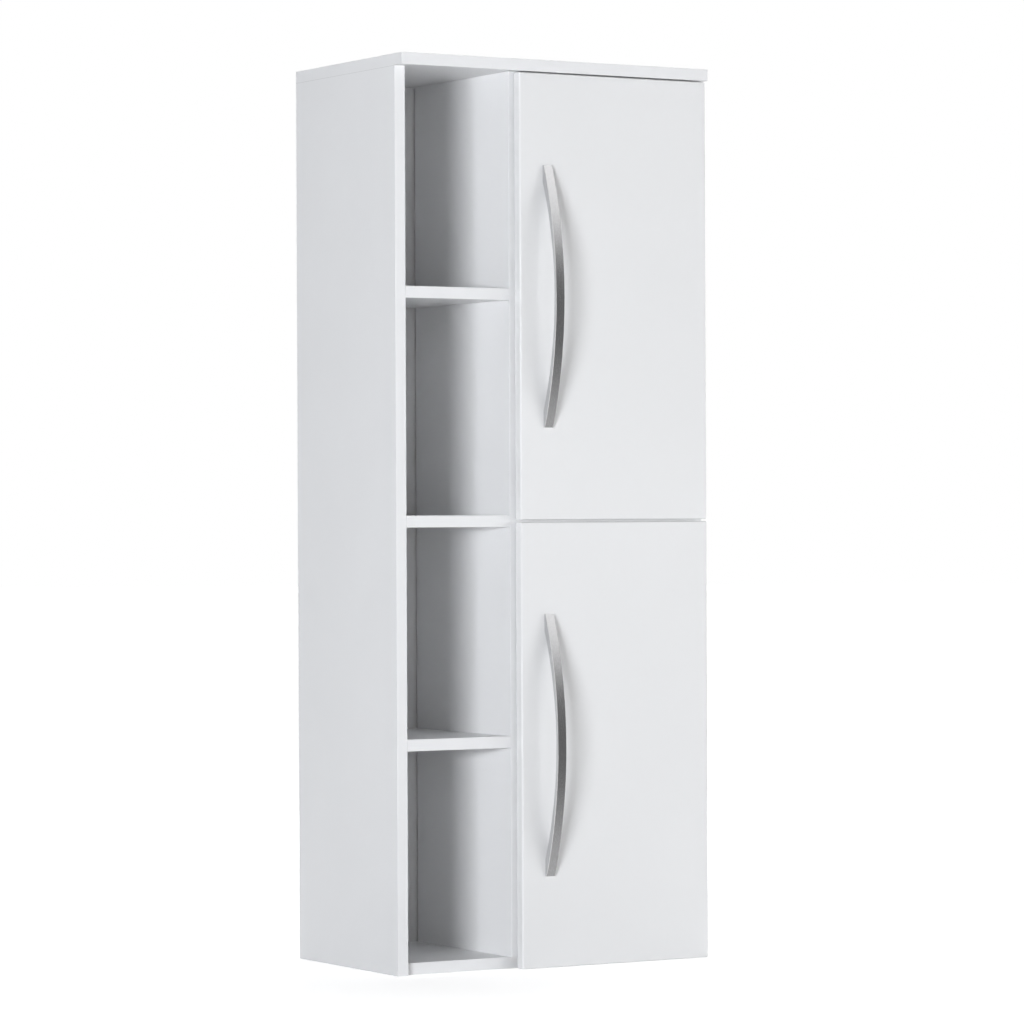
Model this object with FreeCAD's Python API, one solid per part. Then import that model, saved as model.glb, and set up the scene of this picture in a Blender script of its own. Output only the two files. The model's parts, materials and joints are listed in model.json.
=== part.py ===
import FreeCAD, Part
import os
from FreeCAD import Vector

# Tall bathroom cabinet, in millimetres. The origin is the centre of the carcass's underside,
# +X is to the right of somebody facing the doors, +Y runs from the doors to the wall, +Z is up.

# ---- Carcass ----
WIDTH = 487.0
HEIGHT = 1233.0
CARCASS_DEPTH = 280.0
BOARD = 16.0
TOP_OVERHANG = 19.5
BAY_WIDTH = 160.5
LOWER_SHELF_Z = 300.0
MIDDLE_SHELF_Z = 599.5
UPPER_SHELF_Z = 907.0
BOTTOM_SETBACK = 8.0
EDGE_ROUND = 0.6

# ---- Back panel and wall rails ----
BACK_BOARD = 3.0
BACK_INSET = 17.0
GROOVE_DEPTH = 6.0
GROOVE_PLAY = 0.1
REAR_PLAY = 2.2
RAIL_HEIGHT = 80.0
RAIL_THICKNESS = 16.0
WALL_HOLE_RADIUS = 3.25
WALL_HOLE_INSET = 45.0
DRILL_THROUGH = 1.0

# ---- Doors ----
DOOR_BOARD = 16.0
DOOR_GAP = 2.8
DOOR_TOP_GAP = 1.7
DOOR_SEAM = 3.0
DOOR_BOTTOM_RISE = 0.5
PARTITION_REVEAL = 6.5
HINGE_SIDE_REVEAL = 3.4
DOOR_FACE_ROUND = 2.5
DOOR_CORNER_ROUND = 1.5

# ---- Bow handles ----
HANDLE_LENGTH = 356.0
HANDLE_WIDTH = 13.6
HANDLE_RISE = 34.5
HANDLE_STRAP = 5.0
HANDLE_END = 3.0
HANDLE_FOOT = 24.0
HANDLE_ROUND = 0.7
HANDLE_EDGE_DISTANCE = 43.0
HANDLE_HOLE_SPACING = 320.0
HANDLE_SCREW_RADIUS = 2.0
HANDLE_SCREW_BITE = 5.5
HANDLE_HEAD_RADIUS = 4.0
HANDLE_HEAD_HEIGHT = 2.4
DOOR_HOLE_PLAY = 0.4

# ---- Single-pivot cup hinges ----
HINGE_END_DISTANCE = 90.0
PIN_EDGE_DISTANCE = 9.0
PIN_DEPTH = 10.0
PIN_RADIUS = 1.25
PIN_LENGTH = 15.6
PIN_PLAY = 0.05
CUP_RADIUS = 17.5
CUP_TAB = 4.3
CUP_WALL = 1.0
CUP_DEPTH = 13.4
CUP_FLOOR = 0.7
CUP_CHEEK_GAP = 10.8
CUP_CHEEK = 2.4
CUP_CHEEK_REACH = 4.0
FLANGE_THICKNESS = 1.0
FLANGE_LENGTH = 60.0
FLANGE_EDGE_DISTANCE = 3.0
FLANGE_WING_WIDTH = 17.0
FLANGE_CORNER = 4.25
CUP_SCREW_SPACING = 48.0
CUP_SCREW_OFFSET = 6.0
CUP_SCREW_RADIUS = 1.6
CUP_SCREW_LENGTH = 11.0
CUP_SCREW_HEAD_RADIUS = 3.4
CUP_SCREW_HEAD = 1.3
ARM_SHEET = 1.8
ARM_NECK_WIDTH = 10.0
ARM_BODY_WIDTH = 17.0
ARM_CHEEK = 1.4
ARM_EYE_RADIUS = 2.4
ARM_LEG_OFFSET = 13.3
ARM_BODY_START = 4.0
ARM_BODY_LENGTH = 56.0
PLATE_THICKNESS = 2.0
PLATE_HEIGHT = 48.0
PLATE_LENGTH = 18.0
PLATE_SETBACK = 37.0
PLATE_CORNER = 4.5
PLATE_SCREW_SPACING = 32.0
PLATE_SCREW_RADIUS = 2.5
PLATE_SCREW_LENGTH = 11.0
PLATE_SCREW_HEAD_RADIUS = 4.2
PLATE_SCREW_HEAD = 1.6
BLOCK_LENGTH = 38.0
BLOCK_SIDE_PLAY = 0.3
ARM_SCREW_RADIUS = 2.4
ARM_SCREW_HEAD_RADIUS = 4.0
ARM_SCREW_HEAD = 1.8
ARM_SCREW_BITE = 5.0
ARM_SCREW_SPACING = 20.0
FIT_PLAY = 0.05

# ---- Magnetic catches and bumpers ----
CATCH_HEIGHT = 46.0
CATCH_WIDTH = 13.5
CATCH_DEPTH = 15.0
CATCH_ABOVE_SHELF = 150.0
POLE_HEIGHT = 22.0
POLE_WIDTH = 1.6
POLE_PITCH = 5.0
POLE_REACH = 1.0
CATCH_SCREW_RADIUS = 1.5
CATCH_SCREW_LENGTH = 12.0
CATCH_SCREW_SPACING = 34.0
CATCH_SCREW_HEAD_RADIUS = 3.0
CATCH_SCREW_HEAD = 1.2
CATCH_FLANGE = 2.0
CATCH_CASE_HEIGHT = 26.0
STRIKE_THICKNESS = 1.5
STRIKE_HEIGHT = 38.0
STRIKE_WIDTH = 12.0
STRIKE_SCREW_SPACING = 30.0
STRIKE_SCREW_LENGTH = 9.0
STRIKE_SCREW_HEAD_RADIUS = 2.7
STRIKE_SCREW_HEAD = 1.2
BUMPER_RADIUS = 3.5
BUMPER_THICKNESS = 2.5
BUMPER_END_DISTANCE = 28.0

# ---- Joinery ----
DOWEL_RADIUS = 4.0
DOWEL_LENGTH = 30.0
DOWEL_IN_FACE = 9.0
DOWEL_PLAY = 0.05
DOWEL_END_PLAY = 0.5
DOWEL_SETBACK = 75.0
SHELF_DOWEL_SETBACK = 55.0
CAM_SETBACK = 40.0
CAM_RADIUS = 7.5
CAM_HEIGHT = 12.5
CAM_SINK = 0.3
CAM_PLAY = 0.05
CAM_CENTRE_DISTANCE = 24.0
BOLT_THREAD_RADIUS = 2.5
BOLT_THREAD_LENGTH = 11.0
BOLT_RADIUS = 3.0
BOLT_NECK_RADIUS = 2.0
BOLT_NECK_LENGTH = 3.0
BOLT_HEAD_RADIUS = 3.4
BOLT_HEAD_LENGTH = 3.4
BOLT_PLAY = 0.2
CAP_RADIUS = 8.6
CAP_THICKNESS = 0.9
CAP_ROUND = 0.4

# ---- Adjustable shelves and their pins ----
SHELF_SIDE_PLAY = 0.5
SHELF_FRONT_SETBACK = 22.0
SHELF_REAR_PLAY = 2.0
SHELF_PIN_RADIUS = 2.5
SHELF_PIN_DEPTH = 8.0
SHELF_PIN_HEAD_RADIUS = 3.6
SHELF_PIN_HEAD = 7.0
SHELF_PIN_SETBACK = 37.0
SHELF_HOLE_PITCH = 32.0
SHELF_HOLE_STEPS = (-2, -1, 0, 1, 2)

# ---- Tolerances for picking out edges ----
NEAR = 0.01
SHORTEST_EDGE = 0.1

# ---- Places that follow from the sizes ----
LEFT = -WIDTH / 2
RIGHT = WIDTH / 2
FRONT = -CARCASS_DEPTH / 2
REAR = CARCASS_DEPTH / 2
SIDE_TOP = HEIGHT - BOARD
INNER_LEFT = LEFT + BOARD
INNER_RIGHT = RIGHT - BOARD
PARTITION_LEFT = INNER_LEFT + BAY_WIDTH
PARTITION_RIGHT = PARTITION_LEFT + BOARD
BACK_REAR = REAR - BACK_INSET
BACK_FRONT = BACK_REAR - BACK_BOARD
SHELF_REAR = BACK_FRONT - REAR_PLAY
DOOR_REAR = FRONT - DOOR_GAP
DOOR_FRONT = DOOR_REAR - DOOR_BOARD
DOOR_LEFT = PARTITION_LEFT + PARTITION_REVEAL
DOOR_RIGHT = RIGHT - HINGE_SIDE_REVEAL
SEAM_Z = MIDDLE_SHELF_Z + BOARD / 2
HANDLE_X = DOOR_LEFT + HANDLE_EDGE_DISTANCE
PIN_X = DOOR_RIGHT - PIN_EDGE_DISTANCE
PIN_Y = DOOR_REAR - PIN_DEPTH
CUP_X = DOOR_RIGHT - CUP_TAB - CUP_RADIUS

# Each door is a span of height, lowest first.
DOORS = {
    "lower": (DOOR_BOTTOM_RISE, SEAM_Z - DOOR_SEAM / 2),
    "upper": (SEAM_Z + DOOR_SEAM / 2, SIDE_TOP - DOOR_TOP_GAP),
}
OPEN_SHELVES = {"lower": LOWER_SHELF_Z, "middle": MIDDLE_SHELF_Z, "upper": UPPER_SHELF_Z}
LOOSE_SHELVES = {"lower": LOWER_SHELF_Z, "upper": UPPER_SHELF_Z}

X_AXIS = Vector(1, 0, 0)
Y_AXIS = Vector(0, 1, 0)
Z_AXIS = Vector(0, 0, 1)

nodes = {}      # node name -> its solids
bores = {}      # node name -> what is drilled or cut out of it


def box(x0, x1, y0, y1, z0, z1):
    return Part.makeBox(x1 - x0, y1 - y0, z1 - z0, Vector(x0, y0, z0))


def rod(start, direction, length, radius):
    return Part.makeCylinder(radius, length, start, direction)


def fuse(shapes):
    return shapes[0].multiFuse(shapes[1:]).removeSplitter()


def add(name, *shapes):
    nodes.setdefault(name, []).extend(shapes)


def drill(name, *shapes):
    bores.setdefault(name, []).extend(shapes)


def long_edges(shape, along, *places):
    """Straight edges parallel to an axis whose centre has one of the coordinates given."""
    found = []
    for edge in shape.Edges:
        start, end = edge.Vertexes[0].Point, edge.Vertexes[-1].Point
        run = end - start
        centre = (start + end) / 2
        if run.Length > SHORTEST_EDGE and run.cross(along).Length < NEAR:
            if any(abs(centre.dot(axis) - place) < NEAR for axis, place in places):
                found.append(edge)
    return found


# ---------------------------------------------------------------- joinery

def dowel(face, inward, face_node, edge_node):
    """A wooden dowel across a joint: inward points from the face into the drilled edge."""
    start = face - inward * DOWEL_IN_FACE
    add("dowels", rod(start, inward, DOWEL_LENGTH, DOWEL_RADIUS))
    hole = rod(start - inward * DOWEL_END_PLAY, inward,
               DOWEL_LENGTH + 2 * DOWEL_END_PLAY, DOWEL_RADIUS + DOWEL_PLAY)
    drill(face_node, hole)
    drill(edge_node, hole)


def cam_fitting(face, inward, outward, face_node, edge_node, capped=True):
    """A bolt screwed into a face, drawn by a cam sunk in the other board.

    inward points from the face into the other board's edge, and outward from that board's
    middle to the side on which the cam lies."""
    centre = face + inward * CAM_CENTRE_DISTANCE
    head_start = CAM_CENTRE_DISTANCE - BOLT_HEAD_LENGTH / 2
    neck_start = head_start - BOLT_NECK_LENGTH
    add("cam_bolts", fuse([
        rod(face - inward * BOLT_THREAD_LENGTH, inward, BOLT_THREAD_LENGTH, BOLT_THREAD_RADIUS),
        rod(face, inward, neck_start, BOLT_RADIUS),
        rod(face + inward * neck_start, inward, BOLT_NECK_LENGTH, BOLT_NECK_RADIUS),
        rod(face + inward * head_start, inward, BOLT_HEAD_LENGTH, BOLT_HEAD_RADIUS),
    ]))
    drill(face_node, rod(face - inward * BOLT_THREAD_LENGTH, inward,
                         BOLT_THREAD_LENGTH, BOLT_THREAD_RADIUS + CAM_PLAY))

    surface = centre + outward * (BOARD / 2)
    bolt_way = rod(face, inward, CAM_CENTRE_DISTANCE + BOLT_HEAD_RADIUS,
                   BOLT_HEAD_RADIUS + BOLT_PLAY)
    disc = rod(surface - outward * CAM_SINK, outward * -1, CAM_HEIGHT, CAM_RADIUS)
    add("cam_discs", disc.cut(bolt_way))
    drill(edge_node, bolt_way, rod(surface, outward * -1, CAM_HEIGHT + CAM_SINK,
                                   CAM_RADIUS + CAM_PLAY))
    if capped:
        cap = rod(surface, outward, CAP_THICKNESS, CAP_RADIUS)
        rim = [edge for edge in cap.Edges if len(edge.Vertexes) == 1 and
               (edge.CenterOfMass - surface).dot(outward) > CAP_THICKNESS - NEAR]
        add("cam_caps", cap.makeFillet(CAP_ROUND, rim))


def pair_along_depth(setback):
    """Two places on a panel's depth, the same distance from its front and rear edges."""
    return FRONT + setback, SHELF_REAR - setback


def joinery():
    for x, outward, node in ((LEFT + BOARD / 2, X_AXIS, "left_side_panel"),
                             (RIGHT - BOARD / 2, X_AXIS * -1, "right_side_panel"),
                             (PARTITION_LEFT + BOARD / 2, X_AXIS, "partition")):
        for y in pair_along_depth(CAM_SETBACK):
            cam_fitting(Vector(x, y, SIDE_TOP), Z_AXIS * -1, outward, "top_panel", node)
        for y in pair_along_depth(DOWEL_SETBACK):
            dowel(Vector(x, y, SIDE_TOP), Z_AXIS * -1, "top_panel", node)

    x = PARTITION_LEFT + BOARD / 2
    for y in pair_along_depth(CAM_SETBACK):
        cam_fitting(Vector(x, y, BOARD), Z_AXIS, X_AXIS, "bottom_panel", "partition")
    for y in pair_along_depth(DOWEL_SETBACK):
        dowel(Vector(x, y, BOARD), Z_AXIS, "bottom_panel", "partition")

    # Boards that lie between two uprights: the bottom panel and the cupboards' middle shelf.
    lying = (("bottom_panel", BOARD / 2, INNER_LEFT, "left_side_panel", False),
             ("cupboard_middle_shelf", SEAM_Z, PARTITION_RIGHT, "partition", True))
    for node, z, left_face, left_node, capped in lying:
        for face_x, inward, face_node in ((left_face, X_AXIS, left_node),
                                          (INNER_RIGHT, X_AXIS * -1, "right_side_panel")):
            for y in pair_along_depth(CAM_SETBACK):
                cam_fitting(Vector(face_x, y, z), inward, Z_AXIS * -1, face_node, node, capped)
            for y in pair_along_depth(DOWEL_SETBACK):
                dowel(Vector(face_x, y, z), inward, face_node, node)

    for name, z in OPEN_SHELVES.items():
        for y in pair_along_depth(SHELF_DOWEL_SETBACK):
            shelf = "open_shelf_" + name
            dowel(Vector(INNER_LEFT, y, z + BOARD / 2), X_AXIS, "left_side_panel", shelf)
            dowel(Vector(PARTITION_LEFT, y, z + BOARD / 2), X_AXIS * -1, "partition", shelf)

    rail_y = BACK_REAR + RAIL_THICKNESS / 2
    for name, (z0, z1) in rail_spans().items():
        for face_x, inward, side in ((INNER_LEFT, X_AXIS, "left_side_panel"),
                                     (INNER_RIGHT, X_AXIS * -1, "right_side_panel")):
            dowel(Vector(face_x, rail_y, (z0 + z1) / 2), inward, side, "wall_rail_" + name)


# ---------------------------------------------------------------- carcass

def rounded_board(x0, x1, y0, y1, z0, z1, *places, along=X_AXIS):
    board = box(x0, x1, y0, y1, z0, z1)
    return board.makeFillet(EDGE_ROUND, long_edges(board, along, *places))


def rail_spans():
    return {"upper": (SIDE_TOP - RAIL_HEIGHT, SIDE_TOP), "lower": (BOARD, BOARD + RAIL_HEIGHT)}


def carcass():
    for name, x0, x1 in (("left_side_panel", LEFT, INNER_LEFT),
                         ("right_side_panel", INNER_RIGHT, RIGHT)):
        add(name, rounded_board(x0, x1, FRONT, REAR, 0, SIDE_TOP, (Y_AXIS, FRONT),
                                along=Z_AXIS))
    add("partition", rounded_board(PARTITION_LEFT, PARTITION_RIGHT, FRONT, SHELF_REAR, BOARD,
                                   SIDE_TOP, (Y_AXIS, FRONT), along=Z_AXIS))

    front = FRONT - TOP_OVERHANG
    top = box(LEFT, RIGHT, front, REAR, SIDE_TOP, HEIGHT)
    edges = long_edges(top, X_AXIS, (Y_AXIS, front)) + long_edges(top, Y_AXIS, (Z_AXIS, HEIGHT))
    add("top_panel", top.makeFillet(EDGE_ROUND, edges))
    front = FRONT + BOTTOM_SETBACK
    add("bottom_panel", rounded_board(INNER_LEFT, INNER_RIGHT, front, REAR, 0, BOARD,
                                      (Y_AXIS, front)))
    for name, z in OPEN_SHELVES.items():
        add("open_shelf_" + name, rounded_board(INNER_LEFT, PARTITION_LEFT, FRONT, SHELF_REAR,
                                                z, z + BOARD, (Y_AXIS, FRONT)))
    add("cupboard_middle_shelf", rounded_board(PARTITION_RIGHT, INNER_RIGHT, FRONT, SHELF_REAR,
                                               MIDDLE_SHELF_Z, MIDDLE_SHELF_Z + BOARD,
                                               (Y_AXIS, FRONT)))


def back_and_rails():
    panel = box(INNER_LEFT - GROOVE_DEPTH, INNER_RIGHT + GROOVE_DEPTH, BACK_FRONT, BACK_REAR,
                BOARD - GROOVE_DEPTH, SIDE_TOP + GROOVE_DEPTH)
    add("back_panel", panel)
    groove = box(INNER_LEFT - GROOVE_DEPTH - GROOVE_PLAY, INNER_RIGHT + GROOVE_DEPTH + GROOVE_PLAY,
                 BACK_FRONT - GROOVE_PLAY, BACK_REAR + GROOVE_PLAY,
                 BOARD - GROOVE_DEPTH - GROOVE_PLAY, SIDE_TOP + GROOVE_DEPTH + GROOVE_PLAY)
    for name in ("left_side_panel", "right_side_panel", "top_panel", "bottom_panel"):
        drill(name, groove)
    for name, (z0, z1) in rail_spans().items():
        add("wall_rail_" + name, box(INNER_LEFT, INNER_RIGHT, BACK_REAR,
                                     BACK_REAR + RAIL_THICKNESS, z0, z1))
        for x in (INNER_LEFT + WALL_HOLE_INSET, INNER_RIGHT - WALL_HOLE_INSET):
            hole = rod(Vector(x, BACK_FRONT - DRILL_THROUGH, (z0 + z1) / 2), Y_AXIS,
                       BACK_BOARD + RAIL_THICKNESS + 2 * DRILL_THROUGH, WALL_HOLE_RADIUS)
            drill("wall_rail_" + name, hole)
            drill("back_panel", hole)


def loose_shelves():
    front = FRONT + SHELF_FRONT_SETBACK
    rear = SHELF_REAR - SHELF_REAR_PLAY
    for name, z in LOOSE_SHELVES.items():
        add("cupboard_shelf_" + name,
            rounded_board(PARTITION_RIGHT + SHELF_SIDE_PLAY, INNER_RIGHT - SHELF_SIDE_PLAY,
                          front, rear, z, z + BOARD, (Y_AXIS, front)))
        for wall_x, inward, wall in ((PARTITION_RIGHT, X_AXIS, "partition"),
                                     (INNER_RIGHT, X_AXIS * -1, "right_side_panel")):
            for y in (front + SHELF_PIN_SETBACK, rear - SHELF_PIN_SETBACK):
                pin_z = z - SHELF_PIN_HEAD_RADIUS
                face = Vector(wall_x, y, pin_z)
                add("shelf_pins", fuse([
                    rod(face - inward * SHELF_PIN_DEPTH, inward, SHELF_PIN_DEPTH,
                        SHELF_PIN_RADIUS),
                    rod(face, inward, SHELF_PIN_HEAD, SHELF_PIN_HEAD_RADIUS),
                ]))
                for step in SHELF_HOLE_STEPS:
                    place = face + Z_AXIS * (step * SHELF_HOLE_PITCH)
                    drill(wall, rod(place - inward * SHELF_PIN_DEPTH, inward, SHELF_PIN_DEPTH,
                                    SHELF_PIN_RADIUS + FIT_PLAY))


# ---------------------------------------------------------------- doors

def door_panel(z0, z1):
    panel = box(DOOR_LEFT, DOOR_RIGHT, DOOR_FRONT, DOOR_REAR, z0, z1)
    panel = panel.makeFillet(DOOR_CORNER_ROUND, long_edges(
        panel, Y_AXIS, (X_AXIS, DOOR_LEFT), (X_AXIS, DOOR_RIGHT)))
    around = [edge for edge in panel.Edges if edge.BoundBox.YMax - edge.BoundBox.YMin < NEAR]
    return panel.makeFillet(DOOR_FACE_ROUND, around)


def bow_handle(centre_z):
    """A flat strap bent in one arc, with both ends lying on the door."""
    half = HANDLE_LENGTH / 2
    inner = half - HANDLE_FOOT

    def point(along, off_door):
        return Vector(HANDLE_X - HANDLE_WIDTH / 2, DOOR_FRONT - off_door, centre_z + along)

    outline = Part.Wire([
        Part.makeLine(point(-half, 0), point(-half, HANDLE_END)),
        Part.Arc(point(-half, HANDLE_END), point(0, HANDLE_RISE), point(half, HANDLE_END)).toShape(),
        Part.makeLine(point(half, HANDLE_END), point(half, 0)),
        Part.makeLine(point(half, 0), point(inner, 0)),
        Part.Arc(point(inner, 0), point(0, HANDLE_RISE - HANDLE_STRAP), point(-inner, 0)).toShape(),
        Part.makeLine(point(-inner, 0), point(-half, 0)),
    ])
    strap = Part.Face(outline).extrude(X_AXIS * HANDLE_WIDTH)
    outer = [edge for edge in strap.Edges if not isinstance(edge.Curve, Part.Line)]
    return strap.makeFillet(HANDLE_ROUND, outer)


def handle(name, z0, z1):
    centre_z = (z0 + z1) / 2
    node = name + "_door_handle"
    add(node, bow_handle(centre_z))
    for z in (centre_z - HANDLE_HOLE_SPACING / 2, centre_z + HANDLE_HOLE_SPACING / 2):
        seat = Vector(HANDLE_X, DOOR_REAR, z)
        shank = DOOR_BOARD + HANDLE_SCREW_BITE
        add(name + "_door_handle_screws", fuse([
            rod(seat, Y_AXIS, HANDLE_HEAD_HEIGHT, HANDLE_HEAD_RADIUS),
            rod(seat, Y_AXIS * -1, shank, HANDLE_SCREW_RADIUS),
        ]))
        drill(name + "_door_panel", rod(seat, Y_AXIS * -1, DOOR_BOARD,
                                        HANDLE_SCREW_RADIUS + DOOR_HOLE_PLAY))
        drill(node, rod(seat, Y_AXIS * -1, shank + FIT_PLAY, HANDLE_SCREW_RADIUS + FIT_PLAY))


def hinge_cup(z):
    """The cup in the door's inner face, with two cheeks that hold the pin, and its flange."""
    rear = Vector(CUP_X, DOOR_REAR, z)
    inner_radius = CUP_RADIUS - FIT_PLAY - CUP_WALL
    pocket = rod(rear, Y_AXIS * -1, CUP_DEPTH - CUP_FLOOR, inner_radius)
    cheeks = []
    for side in (-1, 1):
        z0, z1 = sorted((z + side * CUP_CHEEK_GAP / 2, z + side * (CUP_CHEEK_GAP / 2 + CUP_CHEEK)))
        cheeks.append(box(PIN_X - CUP_CHEEK_REACH, DOOR_RIGHT, DOOR_REAR - CUP_DEPTH,
                          PIN_Y + CUP_CHEEK_REACH, z0, z1))
    body = rod(rear, Y_AXIS * -1, CUP_DEPTH, CUP_RADIUS - FIT_PLAY)
    cup = fuse([body.cut(pocket)] + [cheek.common(body) for cheek in cheeks])

    screw_x = CUP_X - CUP_SCREW_OFFSET
    top_y = DOOR_REAR + FLANGE_THICKNESS
    half_wing = FLANGE_WING_WIDTH / 2
    wings = box(screw_x - half_wing, screw_x + half_wing, DOOR_REAR, top_y,
                z - FLANGE_LENGTH / 2, z + FLANGE_LENGTH / 2)
    wings = wings.makeFillet(FLANGE_CORNER, long_edges(
        wings, Y_AXIS, (X_AXIS, screw_x - half_wing), (X_AXIS, screw_x + half_wing)))
    rim = rod(rear, Y_AXIS, FLANGE_THICKNESS, DOOR_RIGHT - FLANGE_EDGE_DISTANCE - CUP_X)
    mouth = rod(rear, Y_AXIS, FLANGE_THICKNESS, inner_radius)
    return fuse([cup, fuse([wings, rim]).cut(mouth)])


def hinge_arm(z):
    """The gooseneck arm: an eye round the pin, a neck out of the cup, and a channel body."""
    half_neck = ARM_NECK_WIDTH / 2
    half_body = ARM_BODY_WIDTH / 2
    web_inner = PIN_X - ARM_LEG_OFFSET + ARM_SHEET / 2
    web_outer = web_inner - ARM_SHEET
    low = PIN_Y - ARM_EYE_RADIUS
    body_start = FRONT + ARM_BODY_START
    body_end = body_start + ARM_BODY_LENGTH
    plate_face = INNER_RIGHT - PLATE_THICKNESS
    pieces = [
        rod(Vector(PIN_X, PIN_Y, z - half_neck), Z_AXIS, ARM_NECK_WIDTH, ARM_EYE_RADIUS),
        box(web_outer, PIN_X, low, low + ARM_SHEET, z - half_neck, z + half_neck),
        box(web_outer, web_inner, low, body_start + ARM_SHEET, z - half_neck, z + half_neck),
        box(web_outer, web_inner, body_start, body_end, z - half_body, z + half_body),
    ]
    for side in (-1, 1):
        z0, z1 = sorted((z + side * half_body, z + side * (half_body - ARM_CHEEK)))
        pieces.append(box(web_outer, plate_face - FIT_PLAY, body_start, body_end, z0, z1))
    arm = fuse(pieces)
    bend = long_edges(arm, Z_AXIS, (Y_AXIS, low))
    bend = [edge for edge in bend if abs(edge.CenterOfMass.x - web_outer) < NEAR]
    arm = arm.makeFillet(ARM_SHEET, bend)
    arm = arm.cut(rod(Vector(PIN_X, PIN_Y, z - half_neck), Z_AXIS, ARM_NECK_WIDTH,
                      PIN_RADIUS + PIN_PLAY))
    return arm


def arm_screw_places():
    middle = FRONT + PLATE_SETBACK
    return middle - ARM_SCREW_SPACING / 2, middle + ARM_SCREW_SPACING / 2


def hinge_plate(z):
    """The plate on the side panel, with the block that the arm sits on."""
    face = INNER_RIGHT
    middle = FRONT + PLATE_SETBACK
    half = PLATE_LENGTH / 2
    base = box(face - PLATE_THICKNESS, face, middle - half, middle + half,
               z - PLATE_HEIGHT / 2, z + PLATE_HEIGHT / 2)
    base = base.makeFillet(PLATE_CORNER, long_edges(base, X_AXIS, (Y_AXIS, middle - half),
                                                    (Y_AXIS, middle + half)))
    web_inner = PIN_X - ARM_LEG_OFFSET + ARM_SHEET / 2
    half_block = ARM_BODY_WIDTH / 2 - ARM_CHEEK - BLOCK_SIDE_PLAY
    block = box(web_inner, face, middle - BLOCK_LENGTH / 2, middle + BLOCK_LENGTH / 2,
                z - half_block, z + half_block)
    return fuse([base, block])


def hinge(name, place, z):
    prefix = name + "_door_" + place + "_hinge_"
    door = name + "_door_panel"
    add(prefix + "cup", hinge_cup(z))
    add(prefix + "arm", hinge_arm(z))
    add(prefix + "plate", hinge_plate(z))
    pin_start = Vector(PIN_X, PIN_Y, z - PIN_LENGTH / 2)
    add(prefix + "pin", rod(pin_start, Z_AXIS, PIN_LENGTH, PIN_RADIUS))
    drill(prefix + "cup", rod(pin_start, Z_AXIS, PIN_LENGTH, PIN_RADIUS))
    drill(door, rod(Vector(CUP_X, DOOR_REAR, z), Y_AXIS * -1, CUP_DEPTH, CUP_RADIUS))

    for side in (-1, 1):
        seat = Vector(CUP_X - CUP_SCREW_OFFSET, DOOR_REAR + FLANGE_THICKNESS,
                      z + side * CUP_SCREW_SPACING / 2)
        add(name + "_door_cup_screws", fuse([
            rod(seat, Y_AXIS, CUP_SCREW_HEAD, CUP_SCREW_HEAD_RADIUS),
            rod(seat, Y_AXIS * -1, CUP_SCREW_LENGTH, CUP_SCREW_RADIUS),
        ]))
        hole = rod(seat, Y_AXIS * -1, CUP_SCREW_LENGTH, CUP_SCREW_RADIUS + FIT_PLAY)
        drill(door, hole)
        drill(prefix + "cup", hole)

        seat = Vector(INNER_RIGHT - PLATE_THICKNESS, FRONT + PLATE_SETBACK,
                      z + side * PLATE_SCREW_SPACING / 2)
        add("hinge_plate_screws", fuse([
            rod(seat, X_AXIS * -1, PLATE_SCREW_HEAD, PLATE_SCREW_HEAD_RADIUS),
            rod(seat, X_AXIS, PLATE_SCREW_LENGTH, PLATE_SCREW_RADIUS),
        ]))
        hole = rod(seat, X_AXIS, PLATE_SCREW_LENGTH, PLATE_SCREW_RADIUS + FIT_PLAY)
        drill(prefix + "plate", hole)
        drill("right_side_panel", hole)

    web_outer = PIN_X - ARM_LEG_OFFSET - ARM_SHEET / 2
    for y in arm_screw_places():
        seat = Vector(web_outer, y, z)
        shank = ARM_SHEET + ARM_SCREW_BITE
        add("hinge_arm_screws", fuse([
            rod(seat, X_AXIS * -1, ARM_SCREW_HEAD, ARM_SCREW_HEAD_RADIUS),
            rod(seat, X_AXIS, shank, ARM_SCREW_RADIUS),
        ]))
        hole = rod(seat, X_AXIS, shank, ARM_SCREW_RADIUS + FIT_PLAY)
        drill(prefix + "arm", hole)
        drill(prefix + "plate", hole)


def countersunk(seat, play):
    """A screw whose head tapers into the strike plate, or its hole when there is some play."""
    radius = CATCH_SCREW_RADIUS + play
    head = Part.makeCone(STRIKE_SCREW_HEAD_RADIUS + play, radius, STRIKE_SCREW_HEAD, seat,
                         Y_AXIS * -1)
    return fuse([head, rod(seat, Y_AXIS * -1, STRIKE_SCREW_LENGTH, radius)])


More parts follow.
